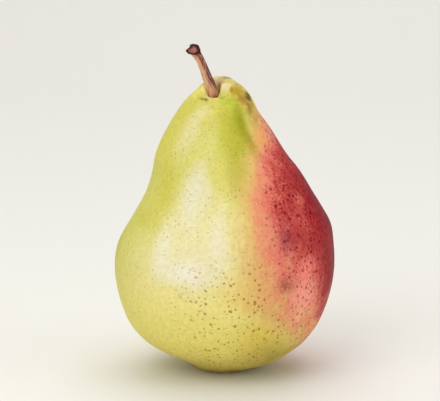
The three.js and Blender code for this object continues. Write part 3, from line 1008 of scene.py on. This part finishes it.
cut_tilt = math.cos(CUT_ANGLE) * side[-1, 0] + math.sin(CUT_ANGLE) * over[-1, 0]
cut_facing = along[-1, 0] + CUT_SLOPE * cut_tilt
above_cut = wood.along(cut_middle, cut_facing / np.linalg.norm(cut_facing))
right_of_cut = wood.along(cut_middle, side[-1, 0])
lip_height = wood.number("ADD", above_cut, wood.fade(right_of_cut, 0.3, 1.5))
bark_colour = wood.mix(wood.fade(lip_height, *LIP_FADE), bark_colour, paint(66, 14, 18))
heart = wood.spot(cut_middle + np.array(HEART_PLACE), HEART_RADII)
soft_heart = wood.times(heart, wood.fade(above_cut, *HEART_FADE), wood.fade(broad_lines, 0.28, 0.55))
bark_colour = wood.mix(soft_heart, bark_colour, paint(160, 90, 80))
wood.set(Base_Color=bark_colour, Roughness=0.62, Specular_IOR_Level=0.15)
wood.bump([(fine_lines, 0.12), (wood_blots, 0.08)])
stem.data.materials.append(wood.material)
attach(stem, "root")
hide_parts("stem")
print("stem finished")

# %% [markdown]
# The calyx is what is left of the flower, at the bottom of the basin: five dry, curled sepals and a
# tuft of dry stamens on a small disc. A sepal is a flat stack of rings, like a blade, that follows a
# curve down and outwards. Each gets its own curl and waved edge from a seeded draw.

# %% Make the calyx
SEPAL_LINE = [  # distance from the middle, height, half the width
    (1.5, 4.8, 1.35),
    (2.7, 4.0, 1.6),
    (3.75, 3.05, 1.45),
    (4.6, 2.1, 0.95),
    (5.2, 1.2, 0.4),
]
STAMEN_LINE = [  # distance from the middle, sideways, height, radius
    (1.5, 0, 4.9, 0.16),
    (1.7, 0, 3.6, 0.12),
    (1.5, 0.1, 2.6, 0.12),
    (1.4, 0.1, 2.3, 0.26),
    (1.35, 0.1, 2.0, 0.05),
]
DISC = [(3.7, 1.2), (3.9, 2.4), (4.5, 2.9), (5.6, 2.9), (6.0, 2.6)]  # height, radius
SEPAL_COUNT, SEPAL_SIDES = 5, 24
STAMEN_COUNT, STAMEN_SIDES = 18, 8
DISC_SIDES = 48
SEPAL_THICKNESS = 0.22
SEPAL_CUP = 0.30
SEPAL_WAVE = 0.06  # as a share of its width
CALYX_SPACING = 0.12
draw = np.random.default_rng(11)


def turned(points, angle_round):
    """The points turned round the upright axis of the eye."""
    cos, sin = math.cos(angle_round), math.sin(angle_round)
    spun = points @ np.array([[cos, sin, 0], [-sin, cos, 0], [0, 0, 1]])
    return spun + [EYE_X, 0, 0]


def sepal(angle_round, curl):
    """One dry sepal as a stack of flat rings."""
    line = evenly_spaced(smooth_line(SEPAL_LINE, steps=8), CALYX_SPACING)
    middle = np.column_stack([line[:, 0], 0 * line[:, 0], line[:, 1]])
    share = np.linspace(0, 1, len(line))[:, None]
    middle[:, 1] += curl * share[:, 0] ** 2
    side, over, _ = (each[:, None, :] for each in rings_along(middle))
    turn = angles_round(SEPAL_SIDES)
    thickness = SEPAL_THICKNESS * (1 - 0.5 * share)
    width = line[:, 2][:, None] * (1 + SEPAL_WAVE * np.sin(26 * share + 5 * curl))
    cup = SEPAL_CUP * (np.sin(turn) ** 2) * np.sin(np.pi * share)
    flat = side * (thickness * np.cos(turn) + cup)[..., None] + over * (width * np.sin(turn))[..., None]
    return turned(middle[:, None, :] + flat, angle_round)


def stamen(angle_round, shorter):
    """One dry stamen: a thin thread with a small knob."""
    measured = np.array(STAMEN_LINE)
    measured[2:, 2] += shorter
    line = evenly_spaced(smooth_line(measured, steps=6), CALYX_SPACING)
    side, over, _ = (each[:, None, :] for each in rings_along(line[:, :3]))
    turn = angles_round(STAMEN_SIDES)
    out = side * np.cos(turn)[..., None] + over * np.sin(turn)[..., None]
    return turned(line[:, None, :3] + out * line[:, 3][:, None, None], angle_round)


disc_rows = fill_in(DISC, spacing=0.3)
disc_height, disc_radius = disc_rows[:, :1], disc_rows[:, 1:]
disc_turn = angles_round(DISC_SIDES)
disc_x = EYE_X + disc_radius * np.cos(disc_turn)
disc_y = disc_radius * np.sin(disc_turn)
calyx_stacks = [np.stack([disc_x, disc_y, disc_height + 0 * disc_turn], axis=2)]
for n in range(SEPAL_COUNT):
    sepal_angle = 2 * np.pi * n / SEPAL_COUNT + draw.uniform(-0.1, 0.1)
    calyx_stacks.append(sepal(sepal_angle, curl=draw.uniform(-0.5, 0.5)))
for n in range(STAMEN_COUNT):
    stamen_angle = 2 * np.pi * (n + draw.uniform(0, 0.6)) / STAMEN_COUNT
    calyx_stacks.append(stamen(stamen_angle, shorter=draw.uniform(0, 0.7)))
calyx = piece_from_rings("pear_calyx", calyx_stacks)

# %% [markdown]
# Dry plant tissue is dull. The colour goes from dark brown in the middle of the disc to a warmer
# brown on the sepals, and to dark brown again at their tips. A fine noise breaks it up with pale
# flecks.

# %% Finish the calyx
TIPS_REACH = 7.0

dry = Finish("calyx_dry")
dry_noise = dry.noise(0.6, 4)
reach = dry.number("ADD", dry.from_upright(EYE_X), dry.times(dry_noise, 2.0))
dry_colour = dry.colours(dry.number("DIVIDE", reach, TIPS_REACH), [
    (0.2, (96, 66, 42)),
    (0.5, (150, 112, 74)),
    (0.8, (124, 90, 60)),
    (1.0, (72, 50, 36)),
])
pale_flecks = dry.times(dry.fade(dry_noise, 0.46, 0.62), 0.5)
dry_colour = dry.mix(pale_flecks, dry_colour, paint(186, 150, 106))
dry.set(Base_Color=dry_colour, Roughness=0.9, Specular_IOR_Level=0.25)
dry.bump([(dry_noise, 0.12)])
calyx.data.materials.append(dry.material)
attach(calyx, "root")
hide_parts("calyx")
print("calyx finished")

# %% [markdown]
# The pear stands on plain pale paper that curves up behind it, so that no horizon shows from the
# front. The sheet is a grid bent along one smooth profile. A trace of tooth in the paper keeps it
# from looking like empty space, and the pear's soft shadow ties it to the ground.

# %% Lay the paper
PAPER_PROFILE = [  # distance back, height
    (-1500, 0), (-600, 0), (500, 0), (900, 60), (1150, 330), (1250, 900), (1300, 2200),
]
PAPER_HALF_WIDTH = 2500

profile = smooth_line(PAPER_PROFILE, steps=12)
profile[:, 1] = np.maximum(profile[:, 1], 0)
paper_edges = (-PAPER_HALF_WIDTH, PAPER_HALF_WIDTH)
paper_points = [(x, y, z) for y, z in profile for x in paper_edges]
paper_faces = [(2 * n, 2 * n + 1, 2 * n + 3, 2 * n + 2) for n in range(len(profile) - 1)]
paper = smooth_object("paper", paper_points, paper_faces)

card = Finish("paper_matt")
tooth = card.noise(0.8, 4)
card.set(Base_Color=card.mix(tooth, paint(226, 225, 219), paint(229, 228, 223)), Roughness=0.95)
card.set(Specular_IOR_Level=0.1)
card.bump([(tooth, 0.03)])
paper.data.materials.append(card.material)
paper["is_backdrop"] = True
print("paper laid")

# %% [markdown]
# The finished pear must be as large as the solids that it stands for, so both boxes are written
# down for comparison.

# %% Write down the size
visual_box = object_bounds()
sizes = {"cad": [[float(value) for value in corner] for corner in cad_box],
         "visual": [[float(value) for value in corner] for corner in visual_box]}
for name, corners in sizes.items():
    print(name, [[round(value * 1000, 2) for value in corner] for corner in corners])
